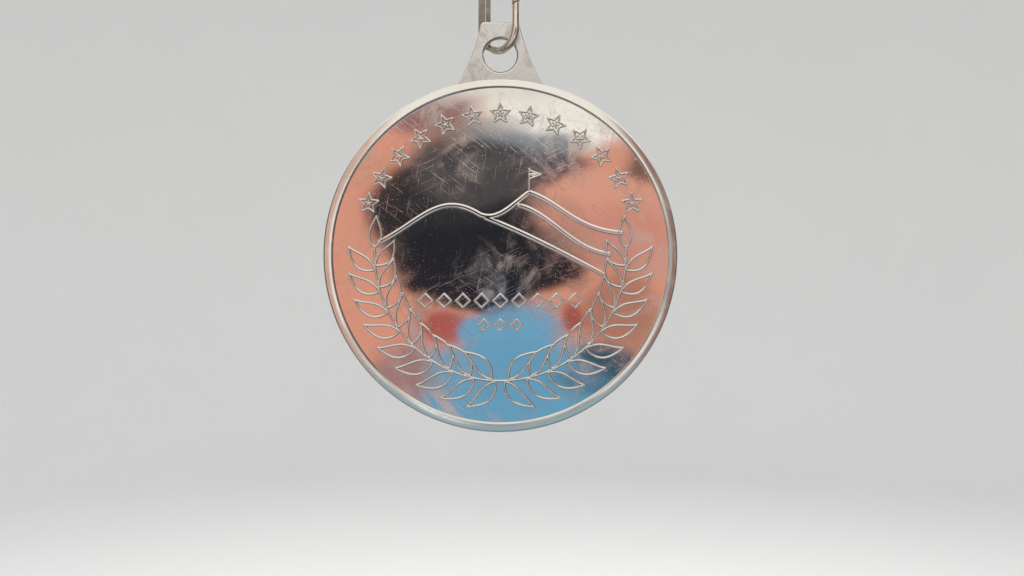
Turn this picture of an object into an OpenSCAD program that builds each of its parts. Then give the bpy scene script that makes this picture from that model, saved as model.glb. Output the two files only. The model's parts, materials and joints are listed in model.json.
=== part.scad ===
// Sports finisher medal hanging from a swivel snap hook, in millimetres.
// The disc's flat back lies in the plane y = 0 with its centre at the origin. The face looks
// along -Y and the lug points up, along +Z. The hook turns about a vertical line through the lug.

/* [Disc] */
// Diameter of the disc
disc_d = 70; // [52:1:100]
// Thickness of the disc, from the back to the crest of the rim
disc_t = 3; // [2.4:0.1:5]
// Width of the sloped rim, from the edge to its crest
rim_w = 1.7; // [1:0.1:3]
// Fall of the rim from its crest to the edge
rim_fall = 0.4; // [0.1:0.05:1]
// Depth of the mirror field under the crest of the rim
field_depth = 0.6; // [0.3:0.05:1]
// Radius that breaks the edge of the back
back_round = 0.5; // [0.2:0.1:1]

/* [Relief] */
// Height of the relief over the field
relief_h = 0.45; // [0.2:0.05:0.8]
// Width of the fine raised lines
line_w = 0.5; // [0.3:0.05:0.8]
// Width of the ridge lines
ridge_w = 1; // [0.6:0.05:1.6]
// Length of a wreath leaf
leaf_l = 8.2; // [6:0.1:10]
// Width of a wreath leaf
leaf_w = 3.1; // [2:0.1:4]
// Leaves along each side of a branch
leaf_count = 9; // [5:1:12]
// Radius over the points of a star
star_r = 2.5; // [1.5:0.1:3]
// Stars over the top
star_count = 13; // [7:2:15]

/* [Lug] */
// Height of the lug over the edge of the disc
lug_h = 11.1; // [10:0.1:16]
// Width of the lug at its top
lug_top_w = 7.7; // [7:0.1:14]
// Width of the lug where it runs into the disc
lug_foot_w = 16.4; // [14:0.1:22]
// Thickness of the lug
lug_t = 2.2; // [1.6:0.1:3]
// Diameter of the hanging hole
lug_hole_d = 6.4; // [5.3:0.1:9]
// Metal over the hanging hole
lug_bridge = 3.4; // [2:0.1:4]
// Chamfer on both ends of the hanging hole
hole_chamfer = 0.4; // [0.1:0.1:0.6]

/* [Hook] */
// Diameter of the hook's wire where the lug hangs
wire_d = 1.6; // [1.2:0.1:2]
// Radius of the hook's bottom bend, to the middle of the wire
bend_r = 4.1; // [3.6:0.1:6]
// Turn of the hook from the plane of the medal, in degrees
hook_turn = 42; // [38:1:90]
// Diameter of the nose where it meets the gate
nose_d = 1.4; // [1.1:0.1:1.6]
// Height of the nose over the middle of the bend
nose_h = 4.3; // [4.3:0.1:8]
// Width of the spine in the plane of the hook
spine_w = 2.1; // [1.7:0.1:3]
// Height of the gate's rivet over the nose
gate_l = 6.7; // [6:0.1:12]
// Thickness of the hook's head
head_t = 4.6; // [4.2:0.1:6]
// Outside diameter of the barrel that the eye turns in
barrel_d = 4.6; // [4.2:0.1:7]
// Length of the barrel
barrel_l = 4; // [3:0.1:8]

/* [Gate] */
// Width of the gate's root between the ears of the head
root_t = 2.3; // [2:0.1:3]
// Width of the pocket for the spring inside the root
pocket_t = 1.3; // [1.2:0.1:1.6]
// Diameter of the rivet
rivet_d = 1.2; // [1:0.1:1.6]
// Diameter of the rivet's heads
rivet_head_d = 2; // [1.8:0.1:2.6]
// Reach of the thumb tab beyond the gate
tab_l = 2.6; // [1.5:0.1:4]
// Diameter of the spring's wire
spring_wire_d = 0.28; // [0.2:0.02:0.32]
// Whole turns in the spring
spring_turns = 2; // [1:1:2]

/* [Swivel eye] */
// Room in the eye for the width of the ribbon
eye_w = 20; // [12:1:40]
// Room in the eye for the thickness of the folded ribbon
eye_h = 6; // [5:0.5:10]
// Diameter of the eye's wire
eye_wire_d = 2.2; // [1.6:0.1:3]
// Diameter of the stem
stem_d = 2.4; // [1.8:0.1:3]
// Diameter of the stem's peened head
peen_d = 3.4; // [3.1:0.1:4]

/* [Clearances] */
// Running clearance round a stem or a rivet, on the radius
running = 0.06; // [0.02:0.01:0.1]
// Side clearance between moving faces
side_gap = 0.1; // [0.05:0.01:0.2]
// Gap between the hook's wire and the wall of the hanging hole
hang_gap = 0.3; // [0.1:0.05:0.4]
// Gap between the nose and the gate
nose_gap = 0.14; // [0.05:0.01:0.3]

/* [Hidden] */
$fn = 64;

// Disc and field
disc_r = disc_d / 2;
crest_r = disc_r - rim_w;
crest_step = 0.25;
field_r = crest_r - crest_step;
field_z = disc_t - field_depth;
edge_round = 0.3;

// Lug, hanging hole and the height of the wire in it
lug_top = disc_r + lug_h;
lug_y = -disc_t / 2;
lug_corner = 0.5;
lug_foot = sqrt(disc_r * disc_r - lug_foot_w * lug_foot_w / 4) - 0.4;
hole_r = lug_hole_d / 2;
hole_z = lug_top - lug_bridge - hole_r;
wire_r = wire_d / 2;
// The wire bends through the hole aslant, so its height comes from the points round the wire:
// it sits as high as the wall of the hole, or its chamfers, allow with hang_gap left everywhere.
function hole_wall(y) = hole_r + max(0, abs(y) - lug_t / 2 + hole_chamfer);
function wire_point(along, round) =
    let (out = bend_r + wire_r * cos(round), v = wire_r * sin(round), u = out * sin(along))
    [
        u * cos(hook_turn) + v * sin(hook_turn),
        v * cos(hook_turn) - u * sin(hook_turn),
        bend_r - out * cos(along)
    ];
seat = min([for (along = [-60 : 3 : 60]) for (round = [0 : 15 : 345])
    let (w = wire_point(along, round), room = pow(hole_wall(w[1]) - hang_gap, 2) - w[0] * w[0])
        if (abs(w[1]) <= lug_t / 2) sqrt(max(room, 0)) - w[2]]);
bend_z = hole_z + seat + bend_r;

// Heights in the hook, over the middle of its bend
rivet_r = rivet_d / 2;
rivet_u = bend_r - 0.2;
rivet_z = nose_h + gate_l;
root_r = rivet_r + 0.8;
slot_t = root_t + 2 * side_gap;
slot_u = rivet_u - root_r - 2 * side_gap;
slot_top = rivet_z + root_r + side_gap;
ear_r = root_r + 0.7;
head_z = rivet_z - 1.8;
barrel_z = rivet_z + 2.6;
barrel_top = barrel_z + barrel_l;
nose_slope = 25;
spine_u = -bend_r + wire_r - spine_w / 2;
// The gate's block, under the pocket for the spring
pocket_r = rivet_r + 0.6;
block_h = 3;

// Spring: the middle of its wire runs round the rivet at coil_r
spring_r = spring_wire_d / 2;
coil_r = rivet_r + 0.1 + spring_r;
spring_pitch = spring_wire_d + 0.02;
leg_l = 2.2;

// Stem and its peened head, which turn in the barrel
stem_r = stem_d / 2;
peen_t = 0.8;
peen_z = barrel_z - 1.4;
collar_t = 0.8;
eye_r = eye_wire_d / 2;
eye_z = barrel_top + side_gap + collar_t + eye_r - 0.3;
eye_corner = 2.6;

// 2D helpers

// Point of a cubic curve with ends a and d and handles b and c
function bend(a, b, c, d, t) =
    pow(1 - t, 3) * a + 3 * t * pow(1 - t, 2) * b + 3 * t * t * (1 - t) * c + pow(t, 3) * d;
function curve(p, n) = [for (i = [0 : n]) bend(p[0], p[1], p[2], p[3], i / n)];
function unit(v) = v / norm(v);
function side(p, i) =
    let (d = unit(p[min(i + 1, len(p) - 1)] - p[max(i - 1, 0)])) [-d[1], d[0]];

// Band of width w along the points p
module band(p, w) {
    last = len(p) - 1;
    polygon(concat(
        [for (i = [0 : last]) p[i] + side(p, i) * w / 2],
        [for (i = [last : -1 : 0]) p[i] - side(p, i) * w / 2]
    ));
}

// Leaf from the origin along +X, bent sideways by curl
function leaf_points(l, w, curl, n) = concat(
    [for (i = [0 : n]) leaf_point(l, w, curl, i / n)],
    [for (i = [n - 1 : -1 : 1]) leaf_point(l, -w, curl, i / n)]
);
function leaf_point(l, w, curl, t) =
    [l * t, curl * l * (2 * pow(t, 3) - t) + w / 2 * sin(180 * pow(t, 0.8))];

module leaf(l, w, curl) {
    tip = 1.5 * line_w;
    difference() {
        polygon(leaf_points(l, w, curl, 6));
        translate([tip, -curl * tip])
            polygon(leaf_points(l - 2.6 * tip, w - 2 * line_w, curl, 5));
    }
}

function star_points(r) =
    [for (i = [0 : 9]) (i % 2 == 0 ? r : 0.45 * r) * [sin(36 * i), cos(36 * i)]];

// Star outline with a small solid star in its middle
module star(r) {
    inner = r - 2 * line_w;
    difference() {
        polygon(star_points(r));
        polygon(star_points(inner));
    }
    polygon(star_points(inner / 2));
}

module lozenge(w, h) {
    inner = 1 - 2.4 * line_w / h;
    difference() {
        polygon([[-w, 0] / 2, [0, h] / 2, [w, 0] / 2, [0, -h] / 2]);
        polygon([[-w, 0] / 2, [0, h] / 2, [w, 0] / 2, [0, -h] / 2] * inner);
    }
}

// Relief, drawn face on with Y up

wreath_r = field_r - 8.2;
wreath_from = 1.5;
wreath_to = 93;
leaf_turn = 48;

// One branch, from the bottom of the disc up its right side, with a leaf at its end
module branch() {
    step = (wreath_to - wreath_from) / leaf_count;
    curl = 0.12;
    pair_step = 0.2 * step;
    bends = 2 * leaf_count;
    stem = [for (i = [0 : bends]) wreath_to * i / bends];
    band([for (a = stem) wreath_r * [sin(a), -cos(a)]], line_w);
    for (i = [0 : leaf_count - 1]) {
        a = wreath_from + i * step;
        translate(wreath_r * [sin(a), -cos(a)])
            rotate(a - leaf_turn)
                leaf(leaf_l - 0.1 * i, leaf_w, curl);
        translate(wreath_r * [sin(a + pair_step), -cos(a + pair_step)])
            rotate(a + pair_step + leaf_turn)
                leaf(leaf_l - 0.2 * i, leaf_w, -curl);
    }
    translate(wreath_r * [sin(wreath_to), -cos(wreath_to)])
        rotate(wreath_to)
            leaf(0.8 * leaf_l, 0.9 * leaf_w, 0);
}

module wreath() {
    branch();
    mirror([1, 0]) branch();
}

// Arc of stars over the top, inside the rim
module star_arc() {
    r = field_r - star_r - 2.6;
    pitch = 2 * asin((star_r + 0.15) / r) * 1.05;
    for (i = [0 : star_count - 1]) {
        rotate((i - (star_count - 1) / 2) * pitch)
            translate([0, r])
                star(star_r);
    }
}

// Two hills, a summit with a pennant and two trails, between the branches of the wreath
module hills() {
    w = wreath_r - 1;
    band(curve([[-w, 2.6], [-0.66 * w, 6.6], [-0.5 * w, 13], [-0.17 * w, 8]], 9), ridge_w);
    band(curve([[-0.17 * w, 8], [-0.02 * w, 6.6], [0.08 * w, 9.6], [0.24 * w, 12.4]], 7), ridge_w);
    band(curve([[0.24 * w, 12.4], [0.5 * w, 10.4], [0.62 * w, 5], [w, 4.4]], 8), ridge_w);
    band(curve([[0.16 * w, 9.8], [0.42 * w, 8.2], [0.6 * w, 1], [0.9 * w, 0.2]], 8), ridge_w);
    band(curve([[-0.12 * w, 7.4], [0.14 * w, 5], [0.4 * w, 2], [0.86 * w, -3.9]], 8), ridge_w);
    band([[0.24 * w, 12], [0.24 * w, 17]], line_w);
    polygon([[0.24 * w, 17], [0.24 * w + 3, 15.9], [0.24 * w, 14.8]]);
}

// Row of lozenges across the foot of the hills, and a short row under it
module lozenge_rows() {
    for (i = [-4 : 4]) translate([i * 3.7, -9]) lozenge(3.4, 3.3);
    for (i = [-1 : 1]) translate([i * 3.2, -13.8]) lozenge(2.9, 2.8);
}

module relief() {
    merge = 0.02;
    linear_extrude(relief_h + edge_round)
        offset(delta = merge) {
            wreath();
            star_arc();
            hills();
            lozenge_rows();
        }
}

// Medal

module disc() {
    rotate_extrude($fn = 128)
        polygon([
            [0, 0],
            [disc_r - back_round, 0],
            [disc_r, back_round],
            [disc_r, disc_t - rim_fall - edge_round],
            [disc_r - edge_round, disc_t - rim_fall],
            [crest_r, disc_t],
            [field_r, field_z],
            [0, field_z]
        ]);
}

// Right half of the lug's outline, from the top down to the foot inside the disc
lug_side = curve([
    [lug_top_w / 2, lug_top - lug_corner],
    [lug_top_w / 2 + 1.2, lug_top - 5],
    [lug_top_w / 2 + 1.8, lug_foot + 5.4],
    [lug_foot_w / 2 + 0.4, lug_foot]
], 10);

module lug() {
    half = concat([[0, lug_top], [lug_top_w / 2 - lug_corner, lug_top]], lug_side,
        [[0, lug_foot - 3]]);
    difference() {
        linear_extrude(lug_t)
            difference() {
                polygon(concat(half,
                    [for (i = [len(half) - 2 : -1 : 1]) [-half[i][0], half[i][1]]]));
                circle(r = crest_r, $fn = 128);
            }
        translate([0, hole_z, 0]) {
            translate([0, 0, -1]) cylinder(r = hole_r, h = lug_t + 2);
            for (end = [0, 1])
                translate([0, 0, end * lug_t])
                    mirror([0, 0, end])
                        translate([0, 0, -0.1])
                            cylinder(r1 = hole_r + hole_chamfer + 0.1, r2 = hole_r,
                                h = hole_chamfer + 0.1);
        }
    }
}

module medal() {
    color("silver")
        rotate([90, 0, 0]) {
            disc();
            translate([0, 0, -lug_y - lug_t / 2]) lug();
            translate([0, 0, field_z - edge_round]) relief();
        }
}

// Hook
// The hook is drawn in its own plane, X towards the nose and Z up, and then turned in place.

module in_hook_place() {
    translate([0, lug_y, bend_z])
        rotate([0, 0, -hook_turn])
            children();
}

// Plate of thickness t in the plane of the hook
module plate(t) {
    rotate([90, 0, 0])
        linear_extrude(t, center = true)
            children();
}

// All that lies over the sloped joint of nose and gate, raised by lift
module over_joint(lift) {
    reach = 3 * gate_l;
    translate([bend_r, 0, nose_h + lift])
        rotate([0, -nose_slope, 0])
            translate([-reach / 2, -reach / 2, 0])
                cube(reach);
}

// Turned to run along the rivet, with its middle at the rivet
module on_rivet() {
    translate([rivet_u, 0, rivet_z])
        rotate([90, 0, 0])
            children();
}

module head_outline() {
    hull() {
        translate([spine_u, head_z + spine_w / 2]) circle(r = spine_w / 2, $fn = 32);
        translate([rivet_u, rivet_z]) circle(r = ear_r, $fn = 32);
        translate([0, barrel_z - 1]) square([barrel_d + 1.4, 2], center = true);
    }
}

// Fairing where the wide spine runs into the round wire of the bend
module spine_foot() {
    a = 48;
    difference() {
        hull() {
            translate([spine_u, 0.1]) square([spine_w, 0.2], center = true);
            translate([-bend_r * cos(a), -bend_r * sin(a)]) circle(r = wire_r - 0.1, $fn = 32);
        }
        circle(r = bend_r);
    }
}

// Slot between the ears, wider at its mouth so that the gate can swing in
module gate_slot() {
    out = bend_r + ear_r + tab_l;
    polygon([
        [slot_u, slot_top],
        [slot_u, rivet_z - 0.5],
        [slot_u - 0.8, rivet_z - 1.1],
        [slot_u - 0.8, head_z - 3],
        [out, head_z - 3],
        [out, slot_top]
    ]);
}

module hook_body() {
    color("lightgray") in_hook_place() difference() {
        union() {
            // bottom bend
            rotate([90, 0, 0])
                rotate([0, 0, 180])
                    rotate_extrude(angle = 180)
                        translate([bend_r, 0]) circle(r = wire_r, $fn = 32);
            // nose
            difference() {
                translate([bend_r, 0, 0])
                    cylinder(r1 = wire_r, r2 = nose_d / 2, h = nose_h + 1, $fn = 32);
                over_joint(0);
            }
            // spine
            translate([spine_u - spine_w / 2, -wire_r, 0])
                cube([spine_w, wire_d, head_z + 1]);
            plate(wire_d - 0.1) spine_foot();
            // head and barrel
            plate(head_t) head_outline();
            cylinder(d = barrel_d, h = barrel_top);
        }
        // open throat under the head
        translate([0, 0, -0.1])
            cylinder(d = barrel_d, h = head_z + 0.1);
        // bore for the stem and room for its peened head
        cylinder(r = stem_r + running, h = barrel_top + 1);
        translate([0, 0, head_z - 1])
            cylinder(r = peen_d / 2 + side_gap, h = peen_z + peen_t + side_gap - head_z + 1);
        plate(slot_t) gate_slot();
        // rivet holes in the ears
        on_rivet() cylinder(r = rivet_r, h = head_t + 2, center = true, $fn = 32);
    }
}

// Gate, rivet and spring

module gate() {
    block_z = rivet_z - block_h;
    color("gainsboro") in_hook_place() difference() {
        union() {
            // arm, from the block down to the nose
            intersection() {
                translate([bend_r, 0, 0])
                    cylinder(r = wire_r, h = block_z + 1, $fn = 32);
                over_joint(nose_gap);
            }
            // block, with the thumb tab beyond it
            plate(root_t)
                polygon([
                    [bend_r - wire_r, rivet_z - root_r / 2],
                    [bend_r + wire_r, rivet_z - root_r / 2],
                    [bend_r + wire_r + tab_l, block_z + 1.1],
                    [bend_r + wire_r + tab_l - 0.2, block_z + 0.1],
                    [bend_r + wire_r, block_z],
                    [bend_r - wire_r, block_z]
                ]);
            // root round the rivet
            on_rivet() cylinder(r = root_r, h = root_t, center = true);
        }
        on_rivet() cylinder(r = rivet_r + running, h = root_t + 2, center = true, $fn = 32);
        // pocket for the spring, open towards the head, and the slot for its leg
        translate([rivet_u - 3, -pocket_t / 2, rivet_z - pocket_r])
            cube([3 + pocket_r, pocket_t, pocket_r + 3]);
        translate([rivet_u + coil_r - 0.2, -pocket_t / 2, rivet_z - leg_l - 0.1])
            cube([0.2 + spring_r + 0.02, pocket_t, leg_l]);
    }
}

module gate_pin() {
    rivet_head_t = 0.4;
    color("silver") in_hook_place() on_rivet() {
        cylinder(r = rivet_r, h = head_t, center = true, $fn = 32);
        for (s = [-1, 1])
            translate([0, 0, s * (head_t + rivet_head_t) / 2])
                cylinder(d = rivet_head_d, h = rivet_head_t, center = true, $fn = 32);
    }
}

// The middle of the spring's wire: leg in the gate, turns round the rivet, leg under the head.
// Points are [along the hook, across it, up], from the middle of the rivet.
function spring_path() =
    let (
        turn = 360 * spring_turns + 90,
        wide = spring_pitch * turn / 360,
        reach_u = root_r - spring_r,
        reach_z = root_r + side_gap - spring_r - 0.05
    )
    concat(
        [[coil_r, -wide / 2, -leg_l]],
        [for (a = [0 : 22.5 : turn]) [coil_r * cos(a), wide * (a / turn - 0.5), coil_r * sin(a)]],
        [[-reach_u, wide / 2, reach_z]]
    );

// Round wire swept along the points p, which bend only in the plane of the hook
module wire(p, r, sides) {
    last = len(p) - 1;
    function along(i) = unit(p[min(i + 1, last)] - p[max(i - 1, 0)]);
    points = [for (i = [0 : last]) let (n = unit(cross(along(i), [0, 1, 0])))
        for (k = [0 : sides - 1])
            p[i] + r * (cos(360 * k / sides) * n + sin(360 * k / sides) * [0, 1, 0])];
    faces = [for (i = [0 : last - 1]) for (k = [0 : sides - 1])
        let (m = (k + 1) % sides)
            [i * sides + k, i * sides + m, (i + 1) * sides + m, (i + 1) * sides + k]];
    polyhedron(points, concat(
        [[for (k = [sides - 1 : -1 : 0]) k]], faces, [[for (k = [0 : sides - 1]) last * sides + k]]
    ));
}

module gate_spring() {
    color("gray") in_hook_place()
        translate([rivet_u, 0, rivet_z])
            wire(spring_path(), spring_r, 8);
}

// Swivel eye

module eye_bar(l) {
    rotate([0, 90, 0]) cylinder(r = eye_r, h = l, center = true, $fn = 32);
}

// Closed loop for the ribbon, with its lower bar at the origin
module eye_loop() {
    w = eye_w + 2 * eye_r;
    h = eye_h + 2 * eye_r;
    for (z = [0, h]) translate([0, 0, z]) eye_bar(w - 2 * eye_corner);
    for (s = [-1, 1]) {
        translate([s * w / 2, 0, eye_corner]) cylinder(r = eye_r, h = h - 2 * eye_corner, $fn = 32);
    }
    for (quarter = [0 : 3]) {
        a = 90 * quarter;
        sx = cos(a + 45) > 0 ? 1 : -1;
        sz = sin(a + 45) > 0 ? 1 : -1;
        translate([sx * (w / 2 - eye_corner), 0, h / 2 + sz * (h / 2 - eye_corner)])
            rotate([90, 0, 0])
                rotate([0, 0, a])
                    rotate_extrude(angle = 90)
                        translate([eye_corner, 0]) circle(r = eye_r, $fn = 32);
    }
}

module swivel_eye() {
    color("lightgray") translate([0, lug_y, bend_z]) {
        translate([0, 0, peen_z]) cylinder(r = stem_r, h = eye_z - peen_z);
        translate([0, 0, peen_z]) cylinder(d = peen_d, h = peen_t);
        translate([0, 0, barrel_top + side_gap]) cylinder(d = barrel_d, h = collar_t);
        translate([0, 0, eye_z]) eye_loop();
    }
}

medal();
hook_body();
gate();
gate_pin();
gate_spring();
swivel_eye();
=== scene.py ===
import json
import math
import bpy
import numpy as np
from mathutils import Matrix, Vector
from mathutils.geometry import delaunay_2d_cdt, tessellate_polygon


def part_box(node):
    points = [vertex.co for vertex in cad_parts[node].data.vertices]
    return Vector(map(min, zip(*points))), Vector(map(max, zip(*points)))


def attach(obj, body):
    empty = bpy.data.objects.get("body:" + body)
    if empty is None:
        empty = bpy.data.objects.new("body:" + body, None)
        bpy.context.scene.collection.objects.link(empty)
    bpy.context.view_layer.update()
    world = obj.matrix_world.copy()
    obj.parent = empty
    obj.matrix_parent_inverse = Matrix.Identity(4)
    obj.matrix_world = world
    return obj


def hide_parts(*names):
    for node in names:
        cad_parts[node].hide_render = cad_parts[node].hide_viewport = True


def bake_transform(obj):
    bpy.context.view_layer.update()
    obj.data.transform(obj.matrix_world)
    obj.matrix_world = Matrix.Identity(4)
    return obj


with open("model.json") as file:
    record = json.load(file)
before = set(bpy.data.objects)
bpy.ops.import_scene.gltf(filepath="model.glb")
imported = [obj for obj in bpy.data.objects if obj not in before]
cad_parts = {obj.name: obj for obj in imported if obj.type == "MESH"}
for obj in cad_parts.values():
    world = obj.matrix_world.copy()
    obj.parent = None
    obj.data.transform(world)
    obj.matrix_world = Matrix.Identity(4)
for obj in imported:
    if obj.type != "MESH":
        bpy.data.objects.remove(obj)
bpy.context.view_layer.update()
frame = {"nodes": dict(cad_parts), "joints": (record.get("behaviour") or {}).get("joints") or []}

mm = 0.001
scene = bpy.context.scene
joints = {joint["name"]: joint for joint in frame["joints"]}


class Value:
    # a float socket that does maths with Python's operators
    def __init__(self, finish, socket):
        self.finish = finish
        self.socket = socket

    def math(self, operation, *others):
        values = {0: self}
        for place, other in enumerate(others):
            values[place + 1] = other
        return self.finish.node("ShaderNodeMath", {"operation": operation}, values)

    def __add__(self, other):
        return self.math("ADD", other)

    def __sub__(self, other):
        return self.math("SUBTRACT", other)

    def __mul__(self, other):
        return self.math("MULTIPLY", other)

    def __pow__(self, other):
        return self * self if other == 2 else self.math("POWER", other)

    def __rsub__(self, other):
        return self.finish.node("ShaderNodeMath", {"operation": "SUBTRACT"}, {0: other, 1: self})

    __radd__ = __add__
    __rmul__ = __mul__

    def clamp(self):
        return self.finish.node("ShaderNodeClamp", {}, {"Value": self})

    def ramp(self, low, high):
        # 0 at low, 1 at high, eased in between
        values = {"Value": self, "From Min": low, "From Max": high}
        return self.finish.node("ShaderNodeMapRange", {"interpolation_type": "SMOOTHSTEP"}, values)


class Finish:
    # one material and its node tree
    def __init__(self, name):
        self.material = bpy.data.materials.new(name)
        self.material.use_nodes = True
        self.tree = self.material.node_tree
        self.tree.nodes.clear()
        self.output = self.tree.nodes.new("ShaderNodeOutputMaterial")
        self.coords = self.node("ShaderNodeTexCoord", {}, {}, "Object")

    def node(self, kind, settings, values, out=0):
        # any node: settings first, then each socket's value or link
        made = self.tree.nodes.new(kind)
        for name, value in settings.items():
            setattr(made, name, value)
        for name, value in values.items():
            socket = made.inputs[name]
            if isinstance(value, Value):
                self.tree.links.new(value.socket, socket)
            else:
                socket.default_value = value
        return Value(self, made.outputs[out])

    def mix(self, factor, first, second):
        return self.node("ShaderNodeMix", {"data_type": "RGBA"}, {0: factor, 6: first, 7: second}, 2)

    def vector(self, operation, first, second):
        return self.node("ShaderNodeVectorMath", {"operation": operation}, {0: first, 1: second})

    def noise(self, scale, detail=2.0, coords=None, distortion=0.0, roughness=0.5):
        values = {"Vector": coords or self.coords, "Scale": scale, "Detail": detail,
                  "Distortion": distortion, "Roughness": roughness}
        return self.node("ShaderNodeTexNoise", {"normalize": True}, values)

    def along(self, axis, coords=None):
        # one coordinate, 0 for x, 1 for y and 2 for z
        return self.node("ShaderNodeSeparateXYZ", {}, {"Vector": coords or self.coords}, axis)

    def streaks(self, angle, across, along, start, shift):
        # fine straight scratches in the plane of the face: across, along and through are lines per metre
        through = 900.0
        edge = 0.05
        turned = self.node("ShaderNodeVectorRotate", {"rotation_type": "Y_AXIS"},
                           {"Vector": self.coords, "Angle": math.radians(angle)})
        squeezed = self.vector("MULTIPLY", turned, (along, through, across))
        drift = (shift, 3.7 * shift, 1.9 * shift)  # each set of scratches takes its own part of the noise
        moved = self.vector("ADD", squeezed, drift)
        lines = self.node("ShaderNodeTexNoise", {"normalize": True},
                          {"Vector": moved, "Scale": 1.0, "Detail": 1.0})
        return lines.ramp(start, start + edge)

    def bump(self, height, strength, distance, under=None):
        values = {"Height": height, "Strength": strength, "Distance": distance}
        if under:
            values["Normal"] = under
        return self.node("ShaderNodeBump", {}, values)

    def light(self, piece, shown, strength):
        # a glowing surface that only reflections see
        glow = self.node("ShaderNodeEmission", {}, {"Color": shown, "Strength": strength})
        self.tree.links.new(glow.socket, self.output.inputs["Surface"])
        piece.data.materials.append(self.material)

    def surface(self, **sockets):
        names = {name.replace("_", " "): value for name, value in sockets.items()}
        shader = self.node("ShaderNodeBsdfPrincipled", {}, names)
        self.tree.links.new(shader.socket, self.output.inputs["Surface"])
        return self.material


def colour(red, green, blue):
    # screen colour from 0 to 255, as linear light
    channels = []
    for value in (red, green, blue):
        share = value / 255
        channels.append(share / 12.92 if share <= 0.04045 else ((share + 0.055) / 1.055) ** 2.4)
    return (*channels, 1.0)


def nickelFinish(name, look):
    # plated metal: smudges and scratches in the gloss, a soft ripple and a fine grain in the normal
    finish = Finish(name)
    scale = look["smudgeScale"]
    cloud = finish.noise(scale, look["cloudDetail"], distortion=look["cloudBend"],
                         roughness=look["cloudRough"]).ramp(*look["cloudEdge"])
    fog = finish.noise(scale * look["fogShare"], 3.0).ramp(*look["fogEdge"])
    scratches = None
    for turn, (angle, start) in enumerate(look["scratches"]):
        lines = finish.streaks(angle, look["across"], look["along"], start, look["shift"] * turn)
        patch = finish.noise(scale * (look["patchShare"] + look["patchStep"] * turn))
        patch = patch.ramp(*look["patchEdge"])
        lines = lines * patch
        scratches = lines if scratches is None else scratches.math("MAXIMUM", lines)
    specks = finish.noise(look["speckScale"]).ramp(*look["speckEdge"])
    rough = look["rough"] + look["smudge"] * cloud * fog + look["scratchRough"] * scratches
    rough = (rough + look["speck"] * specks).clamp()
    base = finish.mix(cloud * look["tintShare"], look["base"], look["tint"])
    base = finish.mix((scratches * look["scratchTint"]).clamp(), base, look["scratchBase"])
    # painted shade: the base colour darkens near the foot of the raised lines, where they meet the field
    if "paintedCreaseShade" in look:
        low, high, share, paintedShade = look["paintedCreaseShade"]
        base = finish.mix(finish.along(1).ramp(-high * mm, -low * mm) * share, base, paintedShade)
    ripple = finish.bump(finish.noise(look["rippleScale"], 1.0), look["ripple"], look["rippleDepth"])
    grain = look["grain"] * finish.noise(look["grainScale"], 3.0)
    height = scratches * -1.0 + specks * -look["speckDepth"] + grain
    normal = finish.bump(height, look["bump"], look["grainDepth"], ripple)
    metal = 1 - look["haze"] * cloud * fog
    return finish.surface(Base_Color=base, Metallic=metal, Roughness=rough, Normal=normal)


nickel = {"base": (0.86, 0.84, 0.81, 1), "tint": (0.74, 0.71, 0.67, 1), "tintShare": 0.5,
          "rough": 0.05, "smudge": 0.18, "smudgeScale": 130.0, "scratchRough": 0.14, "speck": 0.1,
          "speckScale": 2600.0, "across": 9000.0, "along": 140.0,
          "scratches": [(24, 0.69), (-38, 0.7), (81, 0.71)], "scratchTint": 0.25,
          "scratchBase": (0.9, 0.89, 0.87, 1), "rippleScale": 55.0, "ripple": 0.25,
          "rippleDepth": 0.0004, "grain": 0.15, "grainScale": 9000.0, "grainDepth": 0.00002, "bump": 0.1,
          "haze": 0.14, "cloudEdge": (0.44, 0.68), "fogEdge": (0.36, 0.66), "patchEdge": (0.4, 0.6),
          "speckEdge": (0.66, 0.72), "speckDepth": 0.6, "cloudBend": 0.8, "cloudRough": 0.62,
          "cloudDetail": 6.0, "fogShare": 0.35, "patchShare": 0.5, "patchStep": 0.2, "shift": 11.3}

fieldMirror = nickelFinish("fieldMirror", nickel | {"base": (0.93, 0.91, 0.88, 1)})
# raised lines, with painted shade darkened into their foot next to the field
reliefMetal = nickelFinish("reliefMetal", nickel | {
    "base": (0.90, 0.89, 0.86, 1), "rough": 0.08, "smudge": 0.1, "ripple": 0.1, "rippleScale": 300.0,
    "scratches": [(15, 0.68), (70, 0.69)], "paintedCreaseShade": (2.42, 2.66, 0.8, (0.16, 0.15, 0.14, 1))})
rimMetal = nickelFinish("rimMetal", nickel | {
    "base": (0.86, 0.84, 0.80, 1), "rough": 0.1, "smudge": 0.12, "scratches": [(10, 0.66), (95, 0.67)]})
lugSatin = nickelFinish("lugSatin", nickel | {
    "base": (0.72, 0.72, 0.71, 1), "tint": (0.50, 0.49, 0.48, 1), "tintShare": 0.9, "rough": 0.24,
    "smudge": 0.16, "smudgeScale": 260.0, "scratches": [(88, 0.6), (72, 0.62), (40, 0.66), (-30, 0.67)],
    "across": 7000.0, "along": 300.0, "grain": 0.6, "bump": 0.6})
backSatin = nickelFinish("backSatin", nickel | {
    "base": (0.80, 0.78, 0.75, 1), "rough": 0.2, "smudge": 0.16, "smudgeScale": 60.0,
    "scratches": [(2, 0.6), (-4, 0.62), (50, 0.66), (-70, 0.67)], "grain": 0.5, "bump": 0.55})
hookNickel = nickelFinish("hookNickel", nickel | {
    "base": (0.80, 0.76, 0.69, 1), "tint": (0.52, 0.45, 0.36, 1), "tintShare": 0.6, "rough": 0.1,
    "smudge": 0.14, "smudgeScale": 420.0, "scratches": [(12, 0.7), (65, 0.71), (-50, 0.71)],
    "across": 5200.0, "along": 420.0, "rippleScale": 420.0, "ripple": 0.3, "grain": 0.5, "bump": 0.2})
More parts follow.
